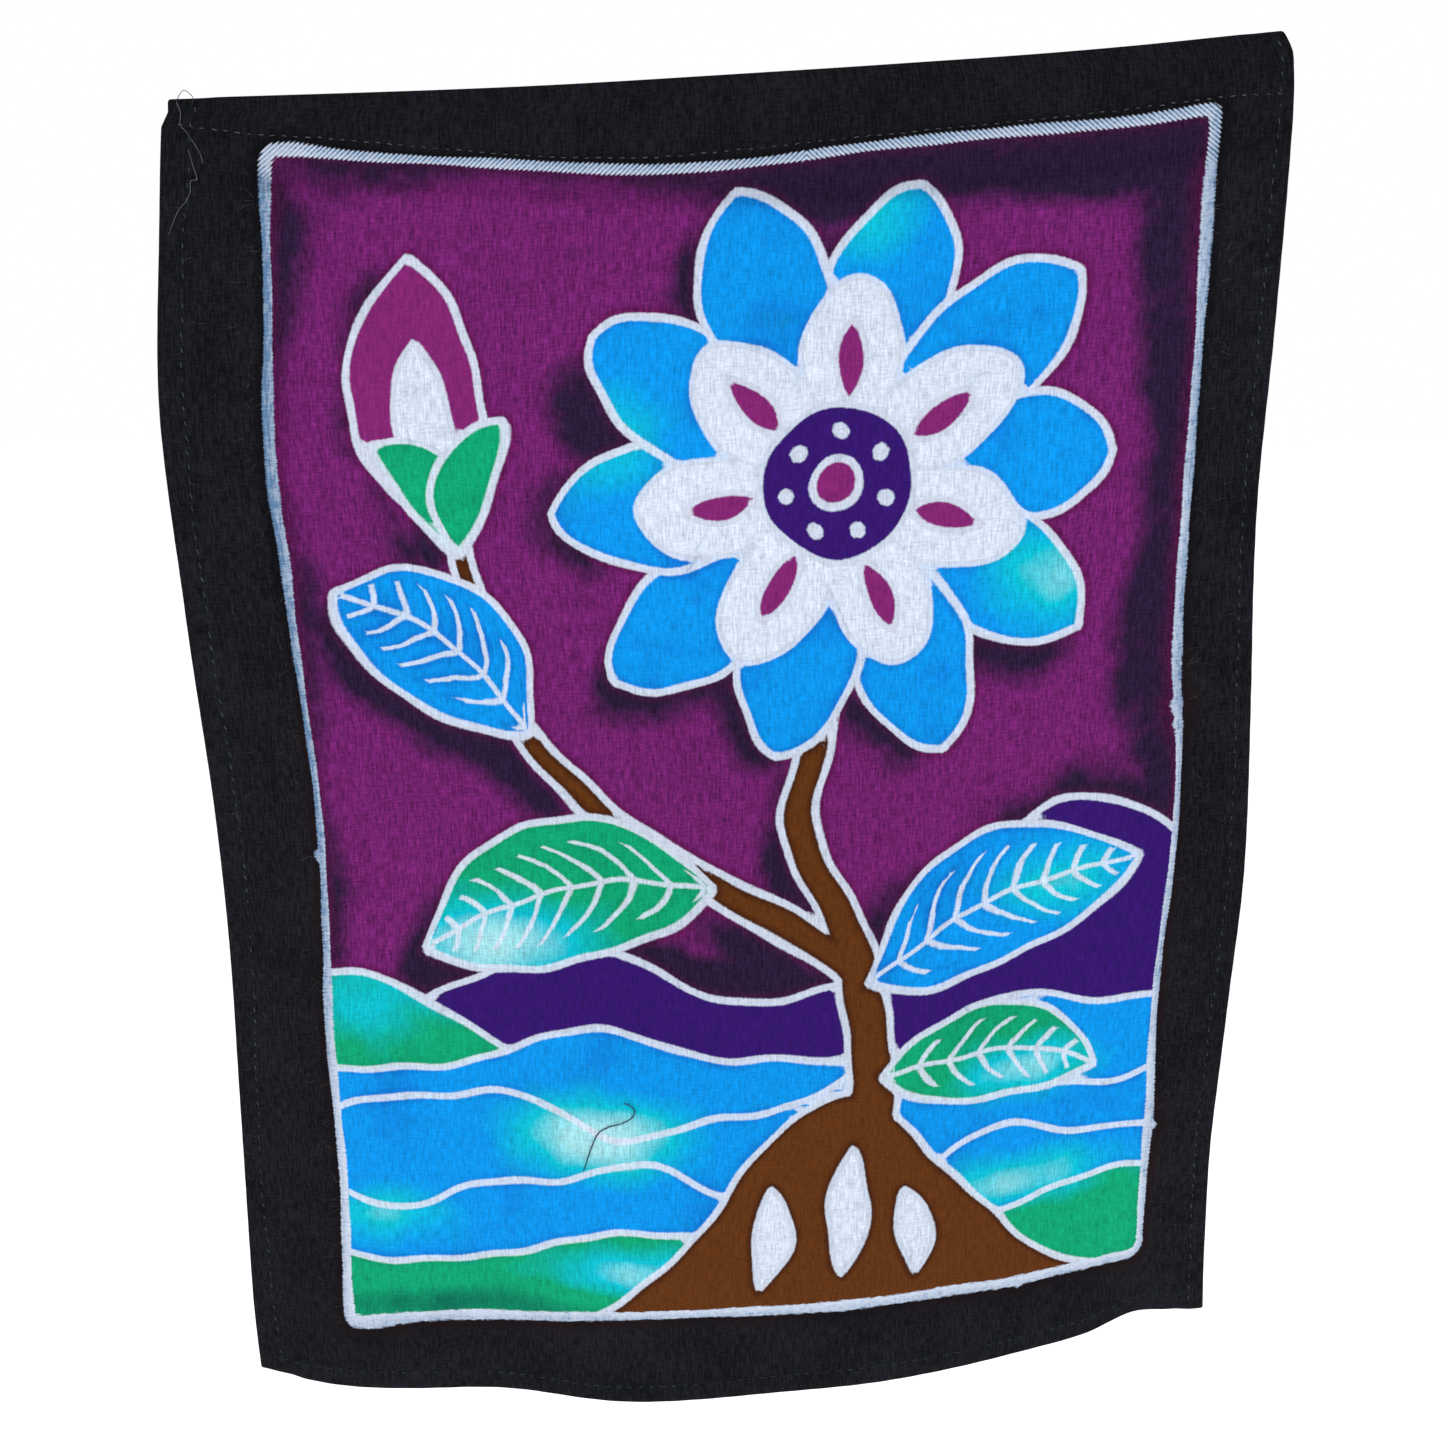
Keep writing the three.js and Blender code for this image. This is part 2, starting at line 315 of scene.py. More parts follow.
def cloth_grid():
    """Flat places of the cloth's points, with its hem allowances beyond the edges, and where the folds put
    them.

    Side hems are folded first, then the bottom and top over them.
    """
    left, right = (
        hem_lines(np.array([width]), np.zeros(1), HEM_TURN, (3, 4, 4, 5))[:, 0]
        for width in (LEFT_HEM, RIGHT_HEM)
    )
    middle = np.linspace(LAYER, WIDTH - LAYER, round(WIDTH / CELL) + 1)
    p = np.concatenate([left, middle, (WIDTH - right)[::-1]])
    edge, lift, _ = folded(np.minimum(p, WIDTH - p), side_hem(p), 0.0, 0.0)
    x = np.where(on_left(p), edge, WIDTH - edge)

    stack = side_stack(x)
    top_depth = read_table(TOP_HEM, x / WIDTH)
    top = hem_lines(top_depth, stack, FLAP_TURN, (5, 4, 16, 6))
    bottom = DROP - hem_lines(np.full_like(x, BOTTOM_HEM), stack, HEM_TURN, (3, 4, 3, 5))[::-1]
    start, end = hem_radius(stack), DROP - hem_radius(stack)
    rows = round(DROP / CELL)
    body = start + (end - start) * (np.arange(rows + 1) / rows)[:, None]
    q = np.concatenate([top, body, bottom])
    p, x, lift = (np.broadcast_to(a, q.shape) for a in (p, x, lift))

    upper = q < DROP / 2
    depth = np.where(upper, top_depth, BOTTOM_HEM)
    edge, behind, run = folded(np.where(upper, q, DROP - q), depth, lift, stack)
    seam = read_table(TOP_SEAM, x / WIDTH)
    hang = (0.9 + 0.5 * np.sin(x / 19)) * ease((edge - seam) / 12) * (upper & (run > 0))
    y = np.where(upper, edge, DROP - edge)
    return p, q, x, y, behind + hang


def grid_faces(rows, columns):
    """Quads of a grid of points. Rows run down and columns across, so that the front faces the viewer."""
    corner = np.arange(rows * columns).reshape(rows, columns)
    quads = np.stack([corner[:-1, :-1], corner[1:, :-1], corner[1:, 1:], corner[:-1, 1:]], -1)
    return quads.reshape(-1, 4)


def new_piece(name, points, faces, materials):
    """A smooth mesh object with its place in its mesh, which moves with the whole hanging."""
    mesh = bpy.data.meshes.new(name)
    mesh.from_pydata(points.reshape(-1, 3).tolist(), [], faces)
    mesh.polygons.foreach_set("use_smooth", np.ones(len(mesh.polygons), bool))
    for material in materials:
        mesh.materials.append(material)
    piece = bpy.data.objects.new(name, mesh)
    bpy.context.scene.collection.objects.link(piece)
    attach(piece, "root")
    return piece


# Picture: distances to the drawn shapes, in millimetres on the flat cloth and negative inside

def disc(p, q, centre, radius):
    """Circle: how far from its centre, less its radius."""
    return np.hypot(p - centre[0], q - centre[1]) - radius


def beside_midrib(p, q, foot, tip, bend):
    """Place in a leaf's own frame: how far along its midrib from the middle, how far aside from it, and half
    its length. The midrib bows sideways by bend times (1 - t²). t is -1 at the foot and 1 at the tip."""
    foot, tip = np.array(foot), np.array(tip)
    middle = (foot + tip) / 2
    length = np.hypot(*(tip - foot)) / 2
    way = (tip - foot) / (2 * length)
    along = (p - middle[0]) * way[0] + (q - middle[1]) * way[1]
    aside = (q - middle[1]) * way[0] - (p - middle[0]) * way[1]
    t = np.clip(along / length, -1, 1)
    return along, (aside - bend * (1 - t**2)) / np.hypot(1, 2 * bend * t / length), length


def leaf(p, q, foot, tip, half, bend=0.0):
    """Pointed leaf: two arcs that meet at its foot and its tip, `half` apart from its midrib at the widest
    place.

    With a half length h, an arc's centre lies d = (h² - half²) / (2 half) beyond the midrib, and its
    radius is d + half.
    """
    along, aside, length = beside_midrib(p, q, foot, tip, bend)
    along, aside = np.abs(along), np.abs(aside)
    beyond = (length**2 - half**2) / (2 * half)
    past_tip = (along - length) * beyond > aside * length
    to_arc = np.hypot(aside + beyond, along) - beyond - half
    return np.where(past_tip, np.hypot(aside, along - length), to_arc)


def stroke(p, q, points, halves):
    """Tapering smooth line: the least distance to its short straight steps, less half its width there."""
    fine, line = smooth_line(points, 14)
    half = read_table(np.stack([np.linspace(0, fine[-1], len(halves)), halves], -1), fine)
    nearest = np.full_like(p, 1e3)
    for (x, y), (next_x, next_y), start, end in zip(line[:-1], line[1:], half[:-1], half[1:]):
        span = np.array([next_x - x, next_y - y])
        t = np.clip(((p - x) * span[0] + (q - y) * span[1]) / span.dot(span), 0, 1)
        distance = np.hypot(p - x - t * span[0], q - y - t * span[1])
        nearest = np.minimum(nearest, distance - start - (end - start) * t)
    return nearest


def below(p, q, line):
    """Everything below a line q = line(p): the height above it, over the length of its slope."""
    slope = line(p + 0.5) - line(p - 0.5)
    return (line(p) - q) / np.hypot(1, slope)


def hump(p, centre, width):
    """Gaussian rise from 0 to 1 at its centre."""
    return np.exp(-((p - centre) / width) ** 2)


def side_rows(rows, at):
    """A side of the wax frame at a place along it: where its line runs, and half its width."""
    along, place, half = np.array(rows).T
    return read_table(np.stack([along, place], -1), at), read_table(np.stack([along, half], -1), at)


def frame_distance(p, q):
    """Distance to the wax frame, in mm and in half widths of its line: the farthest of its four sides, with
    round corners. The half width blends the sides', each weighed by how near it is. A drip widens the line
    round it."""
    (left, left_half), (right, right_half) = side_rows(FRAME_LEFT, q), side_rows(FRAME_RIGHT, q)
    (top, top_half), (bottom, bottom_half) = side_rows(FRAME_TOP, p), side_rows(FRAME_BOTTOM, p)
    radius = np.array(FRAME_CORNERS)[(q > DROP / 2).astype(int), (p > WIDTH / 2).astype(int)]
    sides = np.stack([left - p, p - right, top - q, q - bottom])
    across = np.maximum(sides[0], sides[1]) + radius
    down = np.maximum(sides[2], sides[3]) + radius
    outside = np.hypot(np.maximum(across, 0), np.maximum(down, 0))
    distance = outside + np.minimum(np.maximum(across, down), 0) - radius
    nearness = np.exp((sides - sides.max(axis=0)) / 2)
    halves = np.stack([left_half, right_half, top_half, bottom_half])
    half = (nearness * halves).sum(axis=0) / nearness.sum(axis=0)
    half += 0.09 * np.sin(q / 3.7 + 2.0 * np.sin(p / 11)) + 0.07 * np.sin(p / 4.3 + 1.7 * np.sin(q / 9))
    in_halves = distance / half
    for x, y, drip in DRIPS:
        to_drip = np.hypot(p - x, q - y) / drip
        in_halves = np.sign(in_halves) * np.minimum(np.abs(in_halves), to_drip)
    return distance, in_halves


class Picture:
    """Dyed shapes in painter's order. Each dye has one field of distances to where it lies, and wax lies
    where a field is near 0. So shapes of one colour that touch are painted in turns with its two dyes."""

    def __init__(self, p, q):
        self.p = p
        self.q = q
        self.fields = {dye: np.full_like(p, 1e3) for dye in DYES}
        self.veins = np.stack([0 * p, 0 * p, 0 * p - BARE])

    def paint(self, dye, shape):
        """The shape takes its place from every dye, and joins its own."""
        for name, field in self.fields.items():
            self.fields[name] = np.maximum(field, -shape)
        self.fields[dye] = np.minimum(self.fields[dye], shape)
        self.veins[2] = np.where(shape < 0, -BARE, self.veins[2])

    def veined_leaf(self, dye, foot, tip, half, bend):
        """Leaf, with the place of its points beside its midrib, and how far out its veins reach there."""
        shape = leaf(self.p, self.q, foot, tip, half, bend)
        self.paint(dye, shape)
        along, aside, length = beside_midrib(self.p, self.q, foot, tip, bend)
        reach = 0.66 * half * (1 - (along / length) ** 2) - 0.6
        self.veins = np.where(shape < 0, np.stack([along, aside, reach]), self.veins)

    def put(self, dye, form, *sizes):
        """Paints one of the forms above, by its places and sizes."""
        self.paint(dye, form(self.p, self.q, *sizes))


DYES = ("blue", "green", "brown", "violet", "magenta", "white", "other_blue", "other_green")
BLUES = ("blue", "other_blue")
BARE = 9.0                  # a leaf's veins reach this far below 0 where there are none
VEIN_PITCH = 8.5            # from one pair of side veins to the next
VEIN_LEAN = (0.5, 0.045)    # how far a side vein runs tipwards: parts of its way out and of that squared
VEIN_THIN = 0.35            # how much narrower each side of a vein is than a wax line's
BLOOM = (170.0, 100.0)      # the flower's centre
STEM = ((172, 300), (181, 262), (172, 222), (158, 188), (168, 150))
BRANCH = ((174, 230), (140, 208), (104, 184), (78, 150), (71, 108))
MOUND_LEAVES = (((150, 322), (153, 292), 5.2), ((172, 320), (176, 282), 5.6), ((194, 322), (192, 296), 4.8))
PETAL_MARKS = (0.20, 0.42, 0.64, 0.82, 0.98)    # parts of a petal's reach
PETAL_SHAPE = (0.35, 0.78, 1.0, 0.72, 0.10)     # and its width there, as parts of its widest


def skyline(p):
    """The far hills' outline: how far down the cloth it runs at a distance across."""
    return 240 - 52 * hump(p, 236, 44) - 20 * hump(p, 96, 34)


def draw_land(picture):
    """Hills, water and a bank, from the farthest to the nearest."""
    picture.put("violet", below, skyline)
    picture.put("green", below, lambda p: 256 - 30 * hump(p, 32, 36))
    picture.put("blue", below, lambda p: 251 + 6 * np.sin((p - 8) / 20.4) + 2.5 * np.sin(p / 9.1))
    picture.put("other_blue", below, lambda p: 268 + 6 * np.sin((p + 28) / 18.8) + 2 * np.sin(p / 7.8))
    picture.put("blue", below, lambda p: 290 + 6 * np.sin((p - 20) / 18.8) + 2 * np.sin(p / 7.8 + 2))
    picture.put("green", below, lambda p: 309 + 6 * np.sin((p - 20) / 21))


def draw_plant(picture):
    """Mound, branching stem and leaves."""
    mound = below(picture.p, picture.q, lambda p: 338 - 72 * hump(p, 172, 48))
    stem = stroke(picture.p, picture.q, STEM, (11.0, 7.0, 5.6, 4.6, 4.0))
    branch = stroke(picture.p, picture.q, BRANCH, (5.0, 4.2, 3.6, 3.0, 2.6))
    picture.paint("brown", np.minimum(np.minimum(mound, stem), branch))
    for foot, tip, half in MOUND_LEAVES:
        picture.put("white", leaf, foot, tip, half, 1.5)
    picture.veined_leaf("green", (134, 205), (54, 222), 20, 9)
    picture.veined_leaf("blue", (86, 162), (36, 122), 17, 6)
    picture.veined_leaf("blue", (178, 234), (252, 208), 19, -7)
    picture.veined_leaf("green", (183, 262), (246, 268), 14, -6)


def draw_flower(picture):
    """Flower of ten outer and seven inner petals round a seeded centre, and a bud in a cup of two sepals."""
    def away(turn, radius):
        return BLOOM[0] + radius * np.sin(turn), BLOOM[1] - radius * np.cos(turn)

    def petal(dye, turn, reach, width, lean):
        """Petal from the centre outwards, widest two thirds of the way and pointed at its tip."""
        line = [away(turn + lean * t, reach * t) for t in PETAL_MARKS]
        picture.put(dye, stroke, line, [width * part for part in PETAL_SHAPE])

    for i in range(10):
        petal(BLUES[i % 2], 0.2 + i * math.tau / 10, 75 + 3 * math.sin(2.3 * i), 16.0, 0.06)
    for i in range(7):
        petal("white", 0.1 + i * math.tau / 7, 50 + 2 * math.sin(1.7 * i), 12.5, 0.0)
    for i in range(7):
        turn = 0.1 + i * math.tau / 7
        picture.put("magenta", leaf, away(turn, 20), away(turn, 41), 4.2)
    picture.put("violet", disc, BLOOM, 20)
    for i in range(7):
        picture.put("white", disc, away(i * math.tau / 7, 13), 1.2)
    picture.put("magenta", disc, BLOOM, 6)
    picture.put("magenta", leaf, (70, 108), (60, 40), 17, -3)
    picture.put("white", leaf, (68, 97), (63, 60), 7, -2)
    picture.put("green", leaf, (71, 114), (50, 84), 7.5, 5)
    picture.put("other_green", leaf, (71, 114), (84, 80), 7.5, -5)


def smoky(p, q, inside):
    """How dark the purple is smudged: beside the frame, widest at the top right, above the hills, and to the
    lower left of the plant and the flower, each band ending in a soft and wandering edge."""
    reach = 6 + 7 * ease((p - 80) / 130) + 8 * ease((p - 110) / 90) * hump(q, 16, 36)
    rim = inside - reach
    hills = below(p, q, skyline) - 9
    drawn = Picture(p + 7, q - 7)
    draw_plant(drawn)
    draw_flower(drawn)
    beside = np.min(list(drawn.fields.values()), axis=0)
    wander = 3.0 * np.sin(q / 13 + 1.5 * np.sin(p / 21)) + 2.6 * np.sin(p / 15 + 1.3 * np.sin(q / 18))
    nearest = np.minimum(np.minimum(rim, hills), beside) + wander
    return 1 - ease(nearest / 13 + 0.5)


# Washed-out places of the blues and greens: a place, how far the wash reaches across and down, and how pale
# it is. The last one is a smudge of dark dye.
WASHES = (
    (104, 275, 24, 11, 1.1), (226, 300, 26, 9, 0.7), (40, 300, 20, 9, 0.6), (74, 219, 26, 12, 1.0),
    (40, 236, 20, 12, 0.5), (232, 212, 20, 12, 0.6), (226, 266, 20, 8, 0.8), (118, 316, 30, 8, 0.8),
    (226, 128, 16, 14, 0.7), (112, 86, 14, 16, 0.5), (176, 36, 14, 14, 0.5), (60, 328, 46, 5, -1.0),
)


def paled(p, q):
    """How pale the blue and green are washed: a sum of soft round patches."""
    total = np.zeros_like(p)
    for x, y, across, down, amount in WASHES:
        total += amount * np.exp(-((p - x) / across) ** 2 - ((q - y) / down) ** 2)
    return total


def cloth_fields(p, q):
    """The numbers that colour the cloth, three to a vector: its flat place, the dyes with the frame line,
    the smoke, the pale washes and the painted shade where the top hem lies behind, and the leaves' veins."""
    distance, frame_line = frame_distance(p, q)
    wavy_p = p + 0.7 * np.sin(q / 7.3 + 1.3 * np.sin(p / 17)) + 0.35 * np.sin(q / 3.1 + p / 9)
    wavy_q = q + 0.7 * np.sin(p / 8.1 + 1.1 * np.sin(q / 15)) + 0.35 * np.sin(p / 3.3 - q / 8)
    picture = Picture(wavy_p, wavy_q)
    draw_land(picture)
    draw_plant(picture)
    draw_flower(picture)
    dyes = [picture.fields[dye] for dye in DYES]
    # Painted shade: darker where the top hem lies behind the cloth, darkest in a line along the hem's lower
    # edge
    flap_edge = q - read_table(TOP_HEM, p / WIDTH) * 0.97
    painted_flap_shade = 0.4 * (1 - ease((flap_edge + 1) / 2)) + 0.6 * np.exp(-(flap_edge / 1.8) ** 2)
    return {
        "flat": (p, q, 0 * p),
        "dyes_a": dyes[0:3],
        "dyes_b": dyes[3:6],
        "dyes_c": (*dyes[6:8], frame_line),
        # The third number of the washes is the painted shade behind the top hem, not a wash
        "washes": (smoky(p, q, np.maximum(-distance, 0)), paled(p, q), painted_flap_shade * (q > 0)),
        "veins": picture.veins,
    }


# Shader maths

class Number:
    """A number that varies over a surface. Arithmetic on it adds Math nodes to its finish."""

    def __init__(self, finish, socket):
        self.finish = finish
        self.socket = socket

    def math(self, operation, *values):
        """A Math node on this number and others, with its settings first."""
        sockets = dict(enumerate((self, *values)))
        node = self.finish.add("ShaderNodeMath", dict(operation=operation), sockets)
        return Number(self.finish, node.outputs[0])

    def __add__(self, other):
        return self.math("ADD", other)

    __radd__ = __add__

    def __mul__(self, other):
        return self.math("MULTIPLY", other)

    __rmul__ = __mul__

    def __sub__(self, other):
        return self.math("SUBTRACT", other)

    def __rsub__(self, other):
        return -self + other

    def __truediv__(self, other):
        return self.math("DIVIDE", other)

    def __neg__(self):
        return self * -1

    def __abs__(self):
        return self.math("ABSOLUTE")

    def least(self, other):
        return self.math("MINIMUM", other)

    def most(self, other):
        return self.math("MAXIMUM", other)

    def held(self):
        """This, held between 0 and 1."""
        return self.most(0).least(1)

    def under(self, limit):
        """1 where this is less than the limit, else 0."""
        return self.math("LESS_THAN", limit)

    def fall(self, start, end):
        """Smoothly from 1 at start to 0 at end."""
        settings = dict(interpolation_type="SMOOTHSTEP")
        node = self.finish.add("ShaderNodeMapRange", settings, {0: self, 1: start, 2: end, 3: 1.0, 4: 0.0})
        return Number(self.finish, node.outputs[0])


class Finish:
    """A material and the nodes that make it."""

    def __init__(self, name):
        self.material = bpy.data.materials.new(name)
        self.material.use_nodes = True
        self.tree = self.material.node_tree
        self.tree.nodes.clear()

    def add(self, kind, settings, sockets):
        """A node: its type, its settings, then its sockets' values or links."""
        node = self.tree.nodes.new(kind)
        for name, value in settings.items():
            setattr(node, name, value)
        for name, value in sockets.items():
            value = getattr(value, "socket", value)
            if isinstance(value, bpy.types.NodeSocket):
                self.tree.links.new(value, node.inputs[name])
            else:
                node.inputs[name].default_value = value
        return node

    def field(self, name):
        """The three numbers of a vector attribute."""
        source = self.add("ShaderNodeAttribute", dict(attribute_name=name), {})
        parts = self.add("ShaderNodeSeparateXYZ", {}, {0: source.outputs["Vector"]})
        return [Number(self, parts.outputs[axis]) for axis in "XYZ"]

    def vector(self, x, y):
        return self.add("ShaderNodeCombineXYZ", {}, {0: x, 1: y}).outputs[0]

    def noise(self, place, scale, detail=2.0):
        """Noise at a place, about 0 and from -1 to 1."""
        node = self.add("ShaderNodeTexNoise", {}, {"Vector": place, "Scale": scale, "Detail": detail})
        return Number(self, node.outputs[0]) * 2 - 1

    def streaks(self, across, down, width, length, detail):
        """Noise drawn out to about this width across the cloth and this length down it."""
        return self.noise(self.vector(across / width, down / length), 1.0, detail)

    def mix(self, factor, start, end):
        """Colour from start to end."""
        node = self.add("ShaderNodeMix", dict(data_type="RGBA"), {0: factor, 6: start, 7: end})
        return node.outputs[2]

    def lit(self, colour, amount):
        """Colour times a number."""
        if isinstance(colour, tuple):
            colour = colour[:3]
        node = self.add("ShaderNodeVectorMath", dict(operation="SCALE"), {0: colour, "Scale": amount})
        return node.outputs[0]

    def surface(self, sockets):
        """Ends the material in one surface shader."""
        shader = self.add("ShaderNodeBsdfPrincipled", {}, sockets)
        self.add("ShaderNodeOutputMaterial", {}, {"Surface": shader.outputs[0]})
        return self.material


BLACK = srgb(14, 15, 18)
GREY_BLACK = srgb(34, 35, 42)
BROWN_BLACK = srgb(34, 21, 24)
DEEP_BLACK = srgb(11, 11, 15)
WAXED = srgb(218, 229, 247)
WAXED_GREY = srgb(94, 129, 168)
PURPLE = srgb(113, 33, 108)
PLUM = srgb(42, 26, 56)
WINE = srgb(92, 12, 70)
BLUE = srgb(9, 152, 240)
DEEP_BLUE = srgb(12, 108, 206)
TURQUOISE = srgb(10, 196, 216)
GREEN = srgb(14, 168, 118)
DEEP_GREEN = srgb(10, 142, 98)
DARK_TEAL = srgb(8, 54, 66)
AQUA = srgb(168, 230, 238)
VIOLET = srgb(54, 22, 112)
BROWN = srgb(98, 53, 20)
RED_BROWN = srgb(60, 26, 12)
MAGENTA = srgb(132, 38, 114)
REVERSE_FADING = 0.015  # how far the colours are washed out on the back
FLAP_SHADE = 0.30       # how much darker the cloth is painted where the top hem lies behind it: painted shade
GRAIN = 0.95            # how much the threads' tones differ
RIB_TURN = math.tau / 1.2       # the frame line's slanting ribs: radians for each mm
RIB_MIDDLE = 160.0              # where they turn from leaning right to leaning left


def wax_line(finish, dyes, blotchy):
    """Distance to the drawn wax: to a leaf's midrib and the pairs of veins that curve out from it towards
    the tip, or to the edge of the nearest dyed shape."""
    along, aside, reach = finish.field("veins")
    aside = abs(aside)
    forward = aside * (aside * VEIN_LEAN[1] + VEIN_LEAN[0])
    beside = abs(((along - forward) / VEIN_PITCH + blotchy * 0.14).math("FRACT") - 0.5)
    side_veins = (beside * (VEIN_PITCH * 0.75)).most(aside - reach + blotchy * 2)
    line = side_veins.least(aside.most(reach * -2)) + VEIN_THIN
    for dye in dyes:
        line = line.least(abs(dye))
    return line


def sky_dye(finish, smoke, patchy, blotchy, pooled):
    """Purple, smudged with plum, and wine where it gathers against the wax."""
    smudge = ((smoke + patchy * 0.55 + blotchy * 0.30) * 1.3 - 0.15).held()
    colour = finish.mix(smudge, PURPLE, PLUM)
    return finish.mix(pooled * (1 - smudge * 0.6) * 0.62, colour, WINE)


def washed_dye(finish, pale, patchy, dye):
    """A blue or green dye, washed to turquoise, and at its palest nearly to white."""
    washed = ((pale + patchy * 0.30) * 1.15 - 0.12).held()
    turquoise = finish.mix((washed * 2).least(1), dye, TURQUOISE)
    return finish.mix((washed * 2 - 1).most(0), turquoise, AQUA)


def bare_cotton(finish, across, down, grain, patchy, blotchy):
    """Cloth that the wax kept white, with hairline cracks where the wax broke."""
    cracked = finish.add("ShaderNodeTexVoronoi", dict(feature="DISTANCE_TO_EDGE"), {
        "Vector": finish.vector(across + blotchy * 3, down + patchy * 9), "Scale": 0.055})
    cracks = Number(finish, cracked.outputs[0]).fall(0.004, 0.016) * (patchy * 2.2).held() * 0.35
    white = finish.lit(WAXED, 1 + grain * GRAIN * 0.5 + blotchy * 0.06)
    return finish.mix(cracks, white, WAXED_GREY)


def border_cotton(finish, down, frame_edge, grain, patchy):
    """Black border, greyer by its threads and in patches: blackest beside the frame line, and brownish there
    down the cloth."""
    colour = finish.mix((grain * 1.3 + patchy * 0.5 + 0.42).held(), BLACK, GREY_BLACK)
    colour = finish.mix(frame_edge.fall(1.2, 3.6) * 0.75, colour, DEEP_BLACK)
    rusty = frame_edge.fall(1.2, 5.0) * (1 - down.fall(110, 170)) * (patchy + 0.5).held()
    return finish.mix(rusty, colour, BROWN_BLACK)


def batik(name, fading):
    """Cotton dyed round lines of wax. The fields give the drawing, the washes and the painted shade behind
    the top hem, the flat place the weave.

    fading is how far the colours are washed out.
    """
    finish = Finish(name)
    across, down, _ = finish.field("flat")
    blue, green, brown = finish.field("dyes_a")
    violet, magenta, white = finish.field("dyes_b")
    other_blue, other_green, frame_line = finish.field("dyes_c")
    # The washes' third number is painted shade where the top hem lies behind the cloth
    smoke, pale, painted_flap_shade = finish.field("washes")
    place = finish.vector(across, down)

    # Threads: short thin streaks, stronger down the cloth, and a few long slubs
    warp = finish.streaks(across, down, 0.5, 3.5, 2.0)
    weft = finish.streaks(across, down, 2.4, 0.55, 2.0)
    slub = finish.streaks(across, down, 1.1, 26, 1.0)
    grain = warp + weft * 0.6 + slub * 0.25
    patchy = finish.noise(place, 0.055, 3.0)
    blotchy = finish.noise(place, 0.16, 4.0)

    # Wax lines, frayed by the threads. The frame line is ribbed along the top and tufted down its sides
    fray = finish.streaks(across, down, 0.6, 1.6, 0.0) * 0.13
    fray = fray + finish.streaks(across, down, 1.6, 0.6, 0.0) * 0.10
    dyes = (blue, green, brown, violet, magenta, white, other_blue, other_green)
    line = wax_line(finish, dyes, blotchy) + fray + blotchy * 0.14
    waxed = line.fall(WAX_LINE - 0.34, WAX_LINE + 0.26)
    on_top = (down - across.least(120) * 0.1).fall(14, 19)
    ribs = ((down - abs(across - RIB_MIDDLE) * 0.9) * RIB_TURN + fray * 4).math("SINE") * on_top
    tufts = finish.streaks(across, down, 2.2, 0.6, 1.0) * (1 - on_top)
    frame_edge = abs(frame_line) + fray * 0.5 + ribs * 0.16 + tufts * 0.30
    frame_waxed = frame_edge.fall(0.78, 1.14)
    outside = 1 - (frame_line + fray * 0.5).under(0.0)

    # Dyes: each gathers against the wax, and the smudges and washes run over it
    pooled = line.fall(WAX_LINE + 0.1, WAX_LINE + 2.4).most(frame_edge.fall(1.0, 2.2))
    purple = sky_dye(finish, smoke, patchy, blotchy, pooled)
    purple = finish.mix(frame_edge.fall(1.0, 4.5) * (0.40 - on_top * 0.25), purple, WINE)
    purple = finish.lit(purple, 1 + grain * GRAIN * 0.55)
    deep = (patchy * 1.3 + blotchy * 0.3 + pooled * 0.45 - 0.05).held()
    blue_dye = washed_dye(finish, pale, patchy, finish.mix(deep, BLUE, DEEP_BLUE))
    green_dye = washed_dye(finish, pale, patchy, finish.mix(deep * 0.7, GREEN, DEEP_GREEN))
    brown_dye = finish.mix(line.fall(1.0, 3.2) * 0.8, BROWN, RED_BROWN)
    stained = (-pale + patchy * 0.5 - 0.25).held() * 0.8
    colour = finish.mix(green.least(other_green).under(0.0), purple, green_dye)
    colour = finish.mix(blue.least(other_blue).under(0.0), colour, blue_dye)
    colour = finish.mix(stained, colour, DARK_TEAL)
    for dye, dyed in ((violet, VIOLET), (brown, brown_dye), (magenta, MAGENTA)):
        colour = finish.mix(dye.under(0.0), colour, dyed)
    colour = finish.lit(colour, 1 + grain * GRAIN * 0.5 + blotchy * 0.08)

    # Waxed cloth stays white, tinged by the dye that crept in
    bare = bare_cotton(finish, across, down, grain, patchy, blotchy)
    tinge = (0.12 + grain * 0.14).most(0)
    colour = finish.mix(white.under(-0.6), colour, bare)
    colour = finish.mix(waxed * (1 - tinge), colour, bare)

    # The frame line is greyer towards its outer edge, up the cloth and down its left side
    outer = (-frame_line).fall(-0.9, 0.9)
    high = down.fall(150, 310)
    bright_corner = across.fall(30, 44) * down.fall(13, 20)
    left_side = across.fall(60, 120) * (1 - on_top)
    dulled = 0.08 + high * (0.28 + left_side * 0.30) + outer * 0.34 - bright_corner * 0.22 - on_top * 0.08
    dulled = dulled + patchy * 0.3 + ribs * 0.5 + tufts * 0.30 + grain * 0.8
    frame_bare = finish.mix(dulled.held(), bare, WAXED_GREY)
    colour = finish.mix(outside, colour, border_cotton(finish, down, frame_edge, grain, patchy))
    colour = finish.mix(frame_waxed, colour, frame_bare)
    colour = finish.mix(fading, colour, WAXED_GREY)
    # Painted shade where the top hem lies behind the cloth
    colour = finish.lit(colour, 1 - painted_flap_shade * FLAP_SHADE)

    height = warp * 0.5 + weft * 0.5 + waxed * 0.3 + frame_waxed * 0.8
    bump = finish.add("ShaderNodeBump", {}, {"Strength": 0.35, "Distance": 0.00012, "Height": height})
    return finish.surface({
        "Base Color": colour, "Roughness": 0.92, "Normal": bump.outputs[0],
        "Specular IOR Level": 0.06, "Sheen Weight": 0.02, "Sheen Roughness": 0.5,
    })


